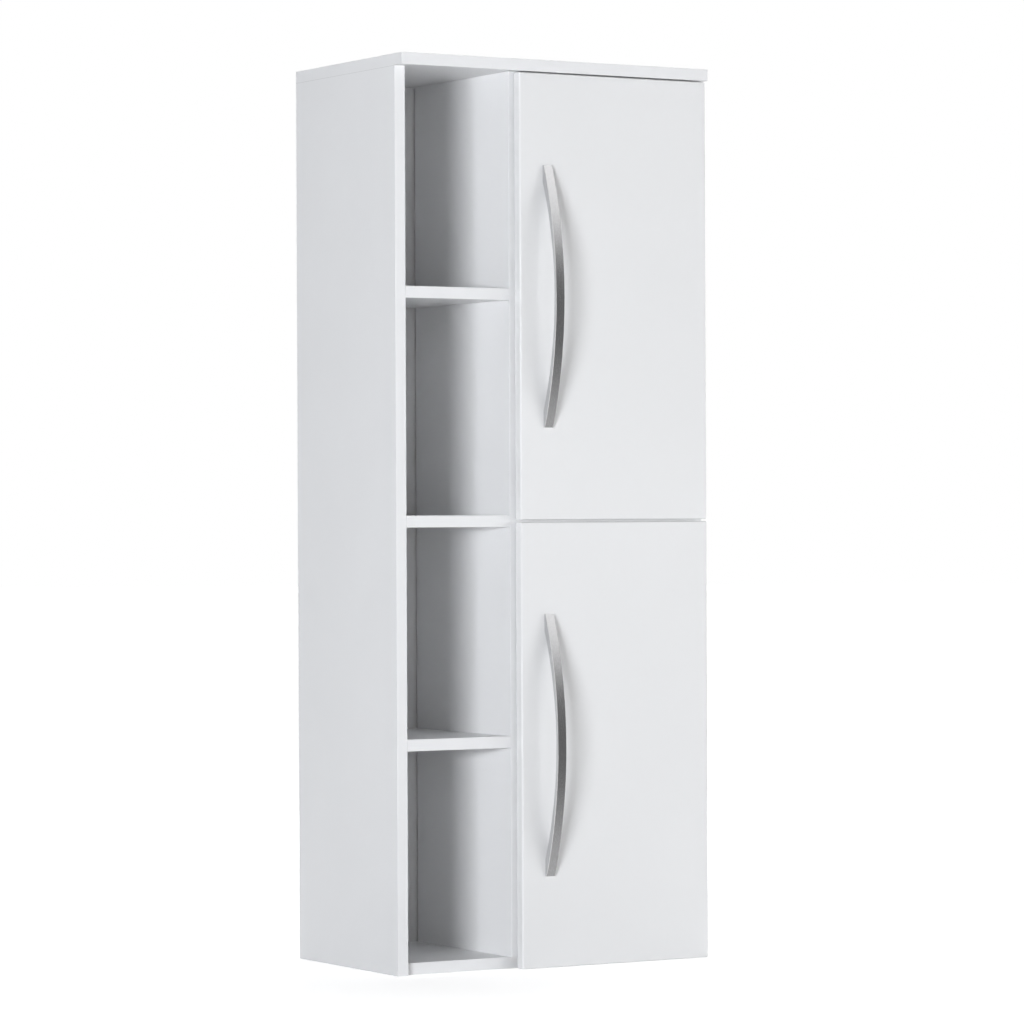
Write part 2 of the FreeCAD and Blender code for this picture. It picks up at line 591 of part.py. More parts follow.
def catch(name, z):
    """A magnetic catch on the partition, and its strike plate on the door."""
    wall = PARTITION_RIGHT
    door = name + "_door_panel"
    body = name + "_catch_body"
    half = CATCH_HEIGHT / 2
    half_case = CATCH_CASE_HEIGHT / 2
    front = FRONT + FIT_PLAY
    add(body, fuse([
        box(wall, wall + CATCH_FLANGE, front, front + CATCH_DEPTH, z - half, z + half),
        box(wall, wall + CATCH_WIDTH, front, front + CATCH_DEPTH, z - half_case, z + half_case),
    ]))
    strike_rear = DOOR_REAR + STRIKE_THICKNESS
    middle = wall + CATCH_FLANGE + (CATCH_WIDTH - CATCH_FLANGE) / 2
    for side in (-1, 1):
        x0 = middle + side * POLE_PITCH / 2 - POLE_WIDTH / 2
        pole = box(x0, x0 + POLE_WIDTH, FRONT - POLE_REACH, front + CATCH_DEPTH / 2,
                   z - POLE_HEIGHT / 2, z + POLE_HEIGHT / 2)
        add(name + "_catch_poles", pole)
        drill(body, pole)

        seat = Vector(wall + CATCH_FLANGE, front + CATCH_DEPTH / 2,
                      z + side * CATCH_SCREW_SPACING / 2)
        add("catch_screws", fuse([
            rod(seat, X_AXIS, CATCH_SCREW_HEAD, CATCH_SCREW_HEAD_RADIUS),
            rod(seat, X_AXIS * -1, CATCH_SCREW_LENGTH, CATCH_SCREW_RADIUS),
        ]))
        hole = rod(seat, X_AXIS * -1, CATCH_SCREW_LENGTH, CATCH_SCREW_RADIUS + FIT_PLAY)
        drill(body, hole)
        drill("partition", hole)

        seat = Vector(middle, strike_rear, z + side * STRIKE_SCREW_SPACING / 2)
        add(name + "_strike_screws", countersunk(seat, 0))
        hole = countersunk(seat, FIT_PLAY)
        drill(door, hole)
        drill(name + "_strike_plate", hole)
    add(name + "_strike_plate", box(middle - STRIKE_WIDTH / 2, middle + STRIKE_WIDTH / 2,
                                    DOOR_REAR, strike_rear,
                                    z - STRIKE_HEIGHT / 2, z + STRIKE_HEIGHT / 2))


def bumpers(name, z0, z1):
    x = PARTITION_RIGHT - BUMPER_RADIUS
    for z in (z0 + BUMPER_END_DISTANCE, z1 - BUMPER_END_DISTANCE):
        add(name + "_door_bumpers", rod(Vector(x, DOOR_REAR, z), Y_AXIS, BUMPER_THICKNESS,
                                        BUMPER_RADIUS))


def doors():
    floors = {"lower": BOARD, "upper": MIDDLE_SHELF_Z + BOARD}
    for name, (z0, z1) in DOORS.items():
        add(name + "_door_panel", door_panel(z0, z1))
        handle(name, z0, z1)
        hinge(name, "bottom", z0 + HINGE_END_DISTANCE)
        hinge(name, "top", z1 - HINGE_END_DISTANCE)
        catch(name, floors[name] + CATCH_ABOVE_SHELF)
        bumpers(name, z0, z1)


# ---------------------------------------------------------------- write

def write():
    for name, shapes in sorted(nodes.items()):
        tools = bores.get(name)
        if tools:
            shapes = [shape.cut(tools) for shape in shapes]
        solids = [solid for shape in shapes for solid in shape.Solids]
        whole = solids[0] if len(solids) == 1 else Part.makeCompound(solids)
        whole.exportStep("parts/" + name + ".step")
        print(name, len(solids), "solids", round(whole.Volume), "mm3",
              "valid" if whole.isValid() else "NOT VALID")
    print(len(nodes), "nodes")


os.makedirs("parts", exist_ok=True)
carcass()
back_and_rails()
loose_shelves()
joinery()
doors()
write()
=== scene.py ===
import json
from math import cos, pi, radians, sin, tan, tau

import bmesh
import bpy
from mathutils import Matrix, Vector

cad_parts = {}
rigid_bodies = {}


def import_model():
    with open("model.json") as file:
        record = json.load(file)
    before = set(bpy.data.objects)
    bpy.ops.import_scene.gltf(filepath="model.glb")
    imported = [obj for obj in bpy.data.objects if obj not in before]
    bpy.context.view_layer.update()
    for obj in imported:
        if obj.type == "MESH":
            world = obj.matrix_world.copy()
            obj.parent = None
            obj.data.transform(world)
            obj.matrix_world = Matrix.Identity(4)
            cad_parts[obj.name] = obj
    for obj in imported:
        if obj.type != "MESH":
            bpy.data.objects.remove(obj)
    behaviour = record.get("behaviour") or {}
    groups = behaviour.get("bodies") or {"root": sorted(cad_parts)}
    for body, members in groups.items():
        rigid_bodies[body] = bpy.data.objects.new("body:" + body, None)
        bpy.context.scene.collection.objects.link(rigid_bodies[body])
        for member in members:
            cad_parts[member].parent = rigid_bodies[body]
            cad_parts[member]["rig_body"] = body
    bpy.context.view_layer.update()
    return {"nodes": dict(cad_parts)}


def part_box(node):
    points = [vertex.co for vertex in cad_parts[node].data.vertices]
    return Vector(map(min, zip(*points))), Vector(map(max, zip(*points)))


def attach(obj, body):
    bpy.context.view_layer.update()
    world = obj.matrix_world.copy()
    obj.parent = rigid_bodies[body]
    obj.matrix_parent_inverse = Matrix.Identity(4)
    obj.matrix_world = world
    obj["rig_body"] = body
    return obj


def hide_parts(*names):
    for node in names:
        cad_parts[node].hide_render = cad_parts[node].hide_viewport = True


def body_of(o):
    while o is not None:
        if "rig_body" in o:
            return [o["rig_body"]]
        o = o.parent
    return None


# The tall bathroom cabinet's looks, in metres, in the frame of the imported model: +Y runs from
# the doors to the wall, and the origin is the centre of the carcass's underside.

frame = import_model()
MM = 0.001

# ---- Camera: where it stands, which way it looks, and how far it is zoomed in ----
CAMERA_PLACE = Vector((-3.0655, -5.1878, 0.6217))
CAMERA_TURN = radians(30.74)       # to the right of +Y
CAMERA_PITCH = radians(-0.019)
CAMERA_ROLL = radians(-0.233)
CAMERA_LENS = 152.26
CAMERA_SENSOR = 36.0
CAMERA_REACH = 200.0

# ---- Studio ----
AIM = Vector((0.0, -0.10, 0.62))
COOL_LIGHT = (0.96, 0.98, 1.01)
SKY_LIGHT = (0.96, 0.93, 1.0)
SKY_STRENGTH = 0.03
FLOOR_RADIUS = 30.0
FLOOR_SIDES = 96
FLOOR_DROP = 0.2 * MM
FLOOR_COLOUR = (0.82, 0.82, 0.82)
FLOOR_GLOW = 0.70
SHADOW_RADIUS = 1.0
FADE_RADIUS = 2.2
CARD_RADIUS = 40.0
CARD_FROM = -10.0
CARD_TO = 60.0
CARD_STEPS = 24
CARD_STRENGTH = 1.4
CARD_SHADES = {-44: 0.40, -30: 0.37, -20: 0.24, -10: 0.13, 2: 0.12, 10: 0.15, 18: 0.44, 26: 0.74,
               36: 0.86}          # by the angle above the horizon

# ---- Colours, as linear values ----
MELAMINE = (0.800, 0.803, 0.810)
FOIL = (0.805, 0.808, 0.812)
CHIP_LIGHT = (0.50, 0.34, 0.19)
CHIP_DARK = (0.20, 0.115, 0.055)
HARDBOARD_LIGHT = (0.23, 0.125, 0.060)
HARDBOARD_DARK = (0.14, 0.072, 0.034)
FIBRE_CORE = (0.42, 0.29, 0.17)

# ---- Boards and doors ----
FILM = 0.3 * MM
BAND_THICKNESS = 1.0 * MM
BAND_LINE = 0.12 * MM
BAND_LINE_SHARE = 0.25
# Painted shadow: the width and strength of the dark line on a side panel under the top panel
TOP_SHADOW_LINE = 0.5 * MM
TOP_SHADOW_SHARE = 0.5
# The tone of the band joints' dark hairlines, and of the painted shadow line under the top panel
JOINT_AND_SHADOW_TONE = (0.45, 0.45, 0.45)
FOIL_SIDE = 3.0 * MM
FOIL_FRONT = 0.5 * MM
SCREEN_PITCH = 1.2 * MM
BEYOND = 5.0 * MM

# ---- Screws: shares of the head's radius or height, and the thread ----
SIDES = 32
HEAD_PROFILE = ((1.0, 0.0), (1.0, 0.30), (0.97, 0.52), (0.90, 0.72), (0.78, 0.88), (0.62, 0.97))
RECESS_REACH = 0.56
RECESS_WIDTH = 0.13
RECESS_DEPTH = 0.75
RECESS_TAPER = 0.45
RECESS_NARROWING = 0.8
FLAT_RIM = 0.92
HELIX_SIDES = 20
HELIX_STEPS = 6
THREAD_PITCH = 1.2 * MM
THREAD_SHARE = 0.26
THREAD_STEEPNESS = 2.6
THREAD_TAPER = 2.0 * MM
POINT_SHARE = 0.35
ISLAND_GRID = 0.02 * MM
SPIN_STEP = radians(137.0)

# ---- Bumpers: the share of the height that is a straight wall, and the dome's steps ----
BUMPER_WALL = 0.22
DOME_STEPS = 8
DOME_STEP = radians(10.0)


# ================================================================ node helpers

class Nodes:
    """Adds nodes to a node tree. Each input is a number, a vector, or another node's output."""

    def __init__(self, tree):
        self.tree = tree

    def node(self, kind, inputs=None, **settings):
        made = self.tree.nodes.new(kind)
        for name, value in settings.items():
            setattr(made, name, value)
        for name, value in (inputs or {}).items():
            if isinstance(value, bpy.types.NodeSocket):
                self.tree.links.new(value, made.inputs[name])
            else:
                made.inputs[name].default_value = value
        return made

    def math(self, operation, *values):
        inputs = dict(enumerate(values))
        return self.node("ShaderNodeMath", inputs, operation=operation).outputs[0]

    def spread(self, value, low, high, to_low=0.0, to_high=1.0, **settings):
        """Maps a value's range from low..high to another, and clips it there."""
        inputs = {0: value, 1: low, 2: high, 3: to_low, 4: to_high}
        return self.node("ShaderNodeMapRange", inputs, **settings).outputs[0]

    def sees_background(self):
        """1 for camera, glossy and transmission rays, and 0 for the rays that light the object."""
        path = self.node("ShaderNodeLightPath").outputs
        shown = self.math("MAXIMUM", path["Is Camera Ray"], path["Is Glossy Ray"])
        return self.math("MAXIMUM", shown, path["Is Transmission Ray"])


class Finish(Nodes):
    """A procedural material on a Principled shader, worked out from the piece's own coordinates."""

    def __init__(self, name, colour, roughness, **shader):
        self.material = bpy.data.materials.new(name)
        self.material.use_nodes = True
        super().__init__(self.material.node_tree)
        self.shader = self.tree.nodes["Principled BSDF"]
        self.set("Base Color", (*colour, 1.0))
        self.set("Roughness", roughness)
        for socket, value in shader.items():
            self.set(socket.replace("_", " ").title().replace("Ior", "IOR"), value)
        self.place = self.node("ShaderNodeTexCoord").outputs["Object"]

    def set(self, socket, value):
        self.shader.inputs[socket].default_value = value

    def wire(self, socket, output):
        self.tree.links.new(output, self.shader.inputs[socket])

    def mix(self, share, low, high):
        """Mixes two colours or two numbers."""
        plain = any(isinstance(value, float) or getattr(value, "type", "") == "VALUE"
                    for value in (low, high))
        kind = "FLOAT" if plain else "RGBA"
        first = 2 if plain else 6
        made = self.node("ShaderNodeMix", data_type=kind)
        for place, value in ((0, share), (first, low), (first + 1, high)):
            socket = made.inputs[place]
            if isinstance(value, bpy.types.NodeSocket):
                self.tree.links.new(value, socket)
            elif isinstance(value, tuple):
                socket.default_value = (*value, 1.0)
            else:
                socket.default_value = value
        return made.outputs[0 if plain else 2]

    def scaled(self, colour, share):
        made = self.node("ShaderNodeVectorMath", {0: colour, "Scale": share}, operation="SCALE")
        return made.outputs[0]

    def stretched(self, x, y, z):
        made = self.node("ShaderNodeVectorMath", {0: self.place, 1: (x, y, z)},
                         operation="MULTIPLY")
        return made.outputs[0]

    def noise(self, scale, detail=2.0, stretch=(1.0, 1.0, 1.0)):
        """Noise whose grains are about 1 / scale metres across."""
        made = self.node("ShaderNodeTexNoise", {"Vector": self.stretched(*stretch),
                                                "Scale": scale, "Detail": detail})
        return made.outputs[0]

    def cells(self, scale, stretch=(1.0, 1.0, 1.0)):
        made = self.node("ShaderNodeTexVoronoi", {"Vector": self.stretched(*stretch),
                                                  "Scale": scale})
        return made.outputs["Distance"], made.outputs["Color"]

    def clouded(self, colour, scale, lowest):
        """The colour with soft clouds, the darkest at the lowest share of its brightness."""
        cloud = self.spread(self.noise(scale), 0.3, 0.7, lowest, 1.0)
        return self.scaled(colour, cloud)

    def coordinate(self, letter):
        if not hasattr(self, "parts"):
            self.parts = self.node("ShaderNodeSeparateXYZ", {0: self.place}).outputs
        return self.parts["XYZ".index(letter)]

    def inside(self, low, high):
        """1 in the box from low to high, and 0 outside it."""
        found = None
        for place, letter in enumerate("XYZ"):
            middle = (low[place] + high[place]) / 2
            half = (high[place] - low[place]) / 2
            near = self.math("COMPARE", self.coordinate(letter), middle, half)
            found = near if found is None else self.math("MULTIPLY", found, near)
        return found

    def bump(self, height, distance, strength=1.0):
        made = self.node("ShaderNodeBump", {"Height": height, "Distance": distance,
                                            "Strength": strength})
        self.wire("Normal", made.outputs[0])


# ================================================================ finishes

def chipboard(finish):
    """The colour of a sawn chipboard edge: flat chips in glue, tan and brown."""
    gaps, tone = finish.cells(420.0, (1.0, 1.0, 1.9))
    shade = finish.mix(finish.node("ShaderNodeSeparateColor", {0: tone}).outputs[0],
                       CHIP_DARK, CHIP_LIGHT)
    fine = finish.spread(finish.noise(1500.0, 3.0), 0.35, 0.65, 0.75, 1.1)
    shade = finish.mix(finish.math("MULTIPLY", gaps, fine), shade, CHIP_LIGHT)
    return shade, gaps


def board(node, thickness, banded):
    """A melamine-faced board. banded lists its finished edges, such as Y- for its front edge.

    A side panel also gets a painted shadow: a fine dark line where the top panel rests on it.
    """
    low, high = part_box(node)
    raw_low, raw_high = low.copy(), high.copy()
    for place, letter in enumerate("XYZ"):
        for corner, sign in ((raw_low, 1), (raw_high, -1)):
            side = letter + ("-" if sign > 0 else "+")
            if letter == thickness:
                corner[place] += sign * FILM
            elif side in banded:
                corner[place] += sign * BAND_THICKNESS
            else:
                corner[place] -= sign * BEYOND

    finish = Finish("board_" + node, MELAMINE, 0.36, specular_ior_level=0.45)
    raw = finish.inside(raw_low, raw_high)
    face = finish.clouded(MELAMINE, 9.0, 0.985)
    for side in banded:
        place = "XYZ".index(side[0])
        edge = low[place] + BAND_THICKNESS if side[1] == "-" else high[place] - BAND_THICKNESS
        line = finish.math("COMPARE", finish.coordinate(side[0]), edge, BAND_LINE / 2)
        face = finish.mix(finish.math("MULTIPLY", line, BAND_LINE_SHARE), face, JOINT_AND_SHADOW_TONE)
    # Painted shadow: a thin dark line along a side panel's top, where the top panel rests on it
    if node.endswith("side_panel"):
        shadow_line = finish.math("COMPARE", finish.coordinate("Z"), high.z, TOP_SHADOW_LINE)
        face = finish.mix(finish.math("MULTIPLY", shadow_line, TOP_SHADOW_SHARE), face, JOINT_AND_SHADOW_TONE)
    chips, gaps = chipboard(finish)
    finish.wire("Base Color", finish.mix(raw, face, chips))
    pearl = finish.spread(finish.noise(900.0, 1.0), 0.3, 0.7, 0.32, 0.42)
    finish.wire("Roughness", finish.mix(raw, pearl, 0.85))
    relief = finish.mix(raw, finish.math("MULTIPLY", finish.noise(1300.0, 1.0), 0.02),
                        finish.math("MULTIPLY", gaps, 0.5))
    finish.bump(relief, 0.4 * MM, 0.6)
    return finish.material


def door(node):
    """A door in high-gloss foil, satin on its inner face, with fibreboard in its borings."""
    low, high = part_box(node)
    core_low = low + Vector((FOIL_SIDE, FOIL_FRONT, FOIL_SIDE))
    core_high = high - Vector((FOIL_SIDE, FILM, FOIL_SIDE))
    finish = Finish("gloss_" + node, FOIL, 0.2, coat_weight=0.6, coat_roughness=0.06,
                    specular_ior_level=0.5)
    core = finish.inside(core_low, core_high)
    face = finish.clouded(FOIL, 5.0, 0.99)
    fibre = finish.mix(finish.noise(1800.0, 4.0), HARDBOARD_LIGHT, FIBRE_CORE)
    finish.wire("Base Color", finish.mix(core, face, fibre))
    rear = finish.math("COMPARE", finish.coordinate("Y"), high.y, FILM)
    finish.wire("Roughness", finish.mix(finish.math("MAXIMUM", core, rear), 0.2, 0.42))
    peel = finish.math("MULTIPLY", finish.noise(160.0, 1.0), 0.02)
    finish.bump(finish.mix(core, peel, finish.noise(1800.0)), 0.3 * MM, 0.5)
    return finish.material


def hardboard():
    """Thin hardboard: white lacquer in front, and brown behind with the screen's fine mesh."""
    low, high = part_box("back_panel")
    finish = Finish("hardboard_back", HARDBOARD_LIGHT, 0.7, specular_ior_level=0.3)
    brown = finish.inside(low + Vector((-BEYOND, FILM, -BEYOND)),
                          high + Vector((BEYOND, BEYOND, BEYOND)))
    fibres = finish.mix(finish.spread(finish.noise(600.0, 4.0), 0.35, 0.65),
                        HARDBOARD_DARK, HARDBOARD_LIGHT)
    patches = finish.spread(finish.noise(14.0, 3.0), 0.3, 0.7, 0.85, 1.08)
    finish.wire("Base Color", finish.mix(brown, MELAMINE, finish.scaled(fibres, patches)))
    finish.wire("Roughness", finish.mix(brown, 0.45, 0.78))
    turns = tau / SCREEN_PITCH
    rows = [finish.math("SINE", finish.math("MULTIPLY", finish.coordinate(letter), turns))
            for letter in "XZ"]
    mesh = finish.math("MULTIPLY", *rows)
    finish.bump(finish.mix(brown, finish.math("MULTIPLY", finish.noise(1300.0), 0.05), mesh),
                0.15 * MM, 0.5)
    return finish.material


def brushed_metal():
    """Satin metal brushed along the strap: long fine scratches and a soft sheen."""
    finish = Finish("handle_brushed_metal", (0.65, 0.65, 0.66), 0.2, metallic=1.0)
    scratches = finish.noise(900.0, 3.0, (1.0, 1.0, 0.02))
    streaks = finish.spread(scratches, 0.3, 0.7)
    finish.wire("Base Color", finish.mix(streaks, (0.62, 0.62, 0.63), (0.68, 0.68, 0.69)))
    finish.wire("Roughness", finish.spread(scratches, 0.3, 0.7, 0.17, 0.23))
    finish.bump(scratches, 0.004 * MM, 0.3)
    return finish.material


def plated(name, colour, roughness):
    """Plated steel or die-cast zinc, with faint clouds in its plating."""
    finish = Finish(name, colour, roughness, metallic=1.0)
    clouds = finish.spread(finish.noise(240.0, 3.0), 0.3, 0.7)
    darker = tuple(0.94 * channel for channel in colour)
    finish.wire("Base Color", finish.mix(clouds, darker, colour))
    finish.wire("Roughness", finish.mix(clouds, roughness + 0.03, roughness))
    finish.bump(finish.noise(1500.0, 2.0), 0.004 * MM, 0.3)
    return finish.material


def plastic(name, colour, roughness):
    """Moulded plastic with a fine grain."""
    finish = Finish(name, colour, roughness, specular_ior_level=0.45)
    grain = finish.noise(2200.0, 2.0)
    darker = tuple(0.96 * channel for channel in colour)
    finish.wire("Base Color", finish.mix(finish.spread(grain, 0.3, 0.7), darker, colour))
    finish.bump(grain, 0.03 * MM, 0.4)
    return finish.material


def beech():
    """Pressed beech dowels: short dark flecks along the grain."""
    finish = Finish("beech_dowel", (0.56, 0.36, 0.19), 0.62)
    grain = finish.spread(finish.noise(500.0, 3.0, (0.2, 1.0, 1.0)), 0.35, 0.65)
    finish.wire("Base Color", finish.mix(grain, (0.44, 0.26, 0.12), (0.62, 0.42, 0.24)))
    finish.bump(grain, 0.05 * MM, 0.5)
    return finish.material


# ================================================================ dressing the frame

FRONT_BANDED = ("Y-",)
BOARDS = {
    "left_side_panel": ("X", ("Y-", "Z-")),
    "right_side_panel": ("X", ("Y-", "Z-")),
    "partition": ("X", FRONT_BANDED),
    "top_panel": ("Z", ("Y-", "X-", "X+")),
    "bottom_panel": ("Z", FRONT_BANDED),
    "cupboard_middle_shelf": ("Z", FRONT_BANDED),
    "wall_rail_lower": ("Y", ()),
    "wall_rail_upper": ("Y", ()),
}
for level in ("lower", "middle", "upper"):
    BOARDS["open_shelf_" + level] = ("Z", FRONT_BANDED)
for level in ("lower", "upper"):
    BOARDS["cupboard_shelf_" + level] = ("Z", FRONT_BANDED)


def paint(name, material):
    piece = frame["nodes"][name]
    if not piece.material_slots:
        piece.data.materials.append(material)
    for place in piece.material_slots:
        place.material = material


def dress_frame():
    shared = {
        "brushed": brushed_metal(),
        "nickel": plated("nickel_plate", (0.76, 0.75, 0.72), 0.22),
        "zinc": plated("zinc_cast", (0.55, 0.56, 0.58), 0.42),
        "screw": plated("screw_plate", (0.68, 0.68, 0.66), 0.3),
        "pole": plated("magnet_pole", (0.46, 0.46, 0.47), 0.35),
        "white": plastic("white_plastic", (0.76, 0.76, 0.75), 0.38),
        "rubber": plastic("bumper_rubber", (0.62, 0.63, 0.63), 0.3),
        "beech": beech(),
        "hardboard": hardboard(),
    }
    endings = (
        ("_door_handle", "brushed"), ("_hinge_cup", "nickel"), ("_hinge_arm", "nickel"),
        ("_hinge_plate", "nickel"), ("_hinge_pin", "nickel"), ("shelf_pins", "nickel"),
        ("cam_bolts", "screw"), ("cam_discs", "zinc"), ("cam_caps", "white"),
        ("_catch_body", "white"), ("_catch_poles", "pole"), ("_strike_plate", "nickel"),
        ("screws", "screw"), ("_bumpers", "rubber"), ("dowels", "beech"),
        ("back_panel", "hardboard"),
    )
    for name in frame["nodes"]:
        if name in BOARDS:
            paint(name, board(name, *BOARDS[name]))
        elif name.endswith("_door_panel"):
            paint(name, door(name))
        else:
            key = next(key for ending, key in endings if name.endswith(ending))
            paint(name, shared[key])


def place_object(name, data):
    made = bpy.data.objects.new(name, data)
    bpy.context.scene.collection.objects.link(made)
    return made


# ================================================================ screws and bumpers

def islands(node):
    """The separate solids of a CAD node, each as a list of its points."""
    mesh = frame["nodes"][node].data
    spots = [tuple(round(value / ISLAND_GRID) for value in vertex.co) for vertex in mesh.vertices]
    leader = {spot: spot for spot in spots}

    def find(spot):
        while leader[spot] != spot:
            leader[spot] = leader[leader[spot]]
            spot = leader[spot]
        return spot

    for edge in mesh.edges:
        first, second = (find(spots[index]) for index in edge.vertices)
        leader[first] = second
    groups = {}
    for vertex, spot in zip(mesh.vertices, spots):
        groups.setdefault(find(spot), []).append(vertex.co.copy())
    return [groups[key] for key in sorted(groups)]


def ring(made, turn, radius, height, sides=SIDES):
    """A circle of vertices round the turn matrix's local Z axis."""
    return [made.verts.new(turn @ Vector((radius * cos(tau * step / sides),
                                          radius * sin(tau * step / sides), height)))
            for step in range(sides)]


def skin(made, first, second):
    """The faces between two rings with as many vertices."""
    for step in range(len(first)):
        after = (step + 1) % len(first)
        made.faces.new((first[step], first[after], second[after], second[step]))


def cross(made, turn, reach, width, height):
    """The corners of a plus sign, anticlockwise."""
    plus = []
    for quarter in range(4):
        spin = Matrix.Rotation(quarter * pi / 2, 3, "Z")
        for x, y in ((reach, -width), (reach, width), (width, width)):
            plus.append(made.verts.new(turn @ (spin @ Vector((x, y, height)))))
    return plus


def recessed_top(made, turn, rim, radius, height, depth):
    """The head's top: flat from its rim to a cross-shaped recess with sloping sides."""
    reach, width = RECESS_REACH * radius, RECESS_WIDTH * radius
    mouth = cross(made, turn, reach, width, height)
    floor = cross(made, turn, RECESS_TAPER * reach, RECESS_NARROWING * width, height - depth)
    edges = [made.edges.get((rim[step], rim[(step + 1) % len(rim)])) for step in range(len(rim))]
    edges += [made.edges.new((mouth[step], mouth[(step + 1) % len(mouth)]))
              for step in range(len(mouth))]
    bmesh.ops.triangle_fill(made, edges=edges, use_beauty=True)
    skin(made, mouth, floor)
    middle = made.verts.new(turn @ Vector((0, 0, height - depth)))
    for step in range(len(floor)):
        made.faces.new((floor[step], floor[(step + 1) % len(floor)], middle))


def threaded_shank(made, turn, radius, length):
    """A shank below the head: a helical thread that fades out at a blunt point."""
    rows = int(HELIX_STEPS * length / THREAD_PITCH)
    rings = []
    for row in range(rows + 1):
        drop = length * row / rows
        left = length - drop
        taper = min(1.0, POINT_SHARE + (1.0 - POINT_SHARE) * left / THREAD_TAPER)
        circle = []
        for step in range(HELIX_SIDES):
            phase = (drop / THREAD_PITCH + step / HELIX_SIDES) % 1.0
            crest = 1.0 - THREAD_SHARE * min(1.0, THREAD_STEEPNESS * abs(phase - 0.5))
            reach = radius * taper * crest
            angle = tau * step / HELIX_SIDES
            circle.append(made.verts.new(turn @ Vector((reach * cos(angle), reach * sin(angle),
                                                        -drop))))
        rings.append(circle)
    for first, second in zip(rings, rings[1:]):
        skin(made, second, first)
    made.faces.new(rings[-1][::-1])
    made.faces.new(rings[0])


def corners(points):
    """The lowest and highest corner of the points' box."""
    return (Vector([min(point[k] for point in points) for k in range(3)]),
            Vector([max(point[k] for point in points) for k in range(3)]))


def measure(points, out):
    """Along a screw's axis: its seat, head height, head radius, shank length, shank radius."""
    low, high = corners(points)
    middle = (low + high) / 2
    reach = [((point - middle).dot(out), (point - middle).cross(out).length) for point in points]
    top, tip = max(reach)[0], min(reach)[0]
    head_radius = max(spread for along, spread in reach)
    shank_radius = max(spread for along, spread in reach if along < tip + ISLAND_GRID)
    seat = max(along for along, spread in reach if spread < shank_radius + ISLAND_GRID)
    return middle + out * seat, top - seat, head_radius, seat - tip, shank_radius


def finish_piece(made, name, node, material, sharp=35):
    """Puts the mesh in the CAD node's place, on the body that carries the node."""
    bmesh.ops.recalc_face_normals(made, faces=made.faces)
    mesh = bpy.data.meshes.new(name)
    made.to_mesh(mesh)
    made.free()
    mesh.shade_smooth()
    mesh.set_sharp_from_angle(angle=radians(sharp))
    mesh.materials.append(material)
    piece = place_object(name, mesh)
    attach(piece, body_of(frame["nodes"][node])[0])
    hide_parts(node)


def make_screws(node, out, material, flat=False):
    """Cross-recessed, threaded screws in place of a CAD node's plain ones."""
    made = bmesh.new()
    for number, points in enumerate(islands(node)):
        seat, head, head_radius, length, radius = measure(points, out)
        spin = Matrix.Rotation(SPIN_STEP * number, 3, "Z")
        aim = out.to_track_quat("Z", "X").to_matrix() @ spin
        turn = Matrix.Translation(seat) @ aim.to_4x4()
        profile = HEAD_PROFILE
        if flat:
            profile = ((radius / head_radius, 0.0), (1.0, FLAT_RIM), (1.0, 1.0))
        rings = [ring(made, turn, share * head_radius, rise * head) for share, rise in profile]
        made.faces.new(rings[0][::-1])
        for first, second in zip(rings, rings[1:]):
            skin(made, first, second)
        height = profile[-1][1] * head
        recessed_top(made, turn, rings[-1], head_radius, height, RECESS_DEPTH * head)
        threaded_shank(made, turn, radius, length)
    finish_piece(made, node + "_threaded", node, material)


def make_bumpers(node, out, material):
    """Soft domed bumpers: a short wall, then a dome with a small flat."""
    made = bmesh.new()
    for points in islands(node):
        low, high = corners(points)
        middle = (low + high) / 2
        height = high.y - low.y
        radius = (high.x - low.x) / 2
        turn = Matrix.Translation(Vector((middle.x, low.y, middle.z)))
        turn = turn @ out.to_track_quat("Z", "X").to_matrix().to_4x4()
        wall = BUMPER_WALL * height
        rings = [ring(made, turn, radius, 0.0), ring(made, turn, radius, wall)]
        for step in range(1, DOME_STEPS + 1):
            angle = step * DOME_STEP
            rise = (height - wall) * sin(angle) / sin(DOME_STEPS * DOME_STEP)
            rings.append(ring(made, turn, radius * cos(angle), wall + rise))
        made.faces.new(rings[0][::-1])
        for first, second in zip(rings, rings[1:]):
            skin(made, first, second)
        made.faces.new(rings[-1])
    finish_piece(made, node + "_domed", node, material, sharp=50)


def make_fittings():
    bright = plated("screw_bright", (0.74, 0.74, 0.72), 0.24)
    rubber = plastic("bumper_soft", (0.66, 0.67, 0.67), 0.22)
    left, right, back = Vector((-1, 0, 0)), Vector((1, 0, 0)), Vector((0, 1, 0))
    make_screws("hinge_arm_screws", left, bright)
    make_screws("hinge_plate_screws", left, bright)
    make_screws("catch_screws", right, bright)
    for level in ("lower", "upper"):
        make_screws(level + "_door_cup_screws", back, bright)
        make_screws(level + "_door_handle_screws", back, bright)
        make_screws(level + "_strike_screws", back, bright, flat=True)
        make_bumpers(level + "_door_bumpers", back, rubber)


# ================================================================ studio

def make_camera():
    camera = bpy.data.cameras.new("camera")
    camera.lens = CAMERA_LENS
    camera.sensor_width = CAMERA_SENSOR
    camera.clip_end = CAMERA_REACH
    holder = place_object("camera", camera)
    holder.matrix_world = (Matrix.Translation(CAMERA_PLACE)
                           @ Matrix.Rotation(-CAMERA_TURN, 4, "Z")
                           @ Matrix.Rotation(pi / 2 + CAMERA_PITCH, 4, "X")
                           @ Matrix.Rotation(CAMERA_ROLL, 4, "Z"))
    bpy.context.scene.camera = holder


def softbox(name, azimuth, rise, distance, width, height, power, colour=(1.0, 1.0, 1.0)):
    """A softbox that faces the cabinet. Its azimuth runs from straight in front to the right."""
    lamp = bpy.data.lights.new(name, "AREA")
    lamp.shape = "RECTANGLE"
    lamp.size = width
    lamp.size_y = height
    lamp.energy = power
    lamp.color = colour
    holder = place_object(name, lamp)
    turn = radians(azimuth)
    place = AIM + Vector((distance * sin(turn), -distance * cos(turn), rise))
    holder.location = place
    holder.rotation_mode = "QUATERNION"
    holder.rotation_quaternion = (AIM - place).to_track_quat("-Z", "Y")
    holder.visible_camera = holder.visible_glossy = False


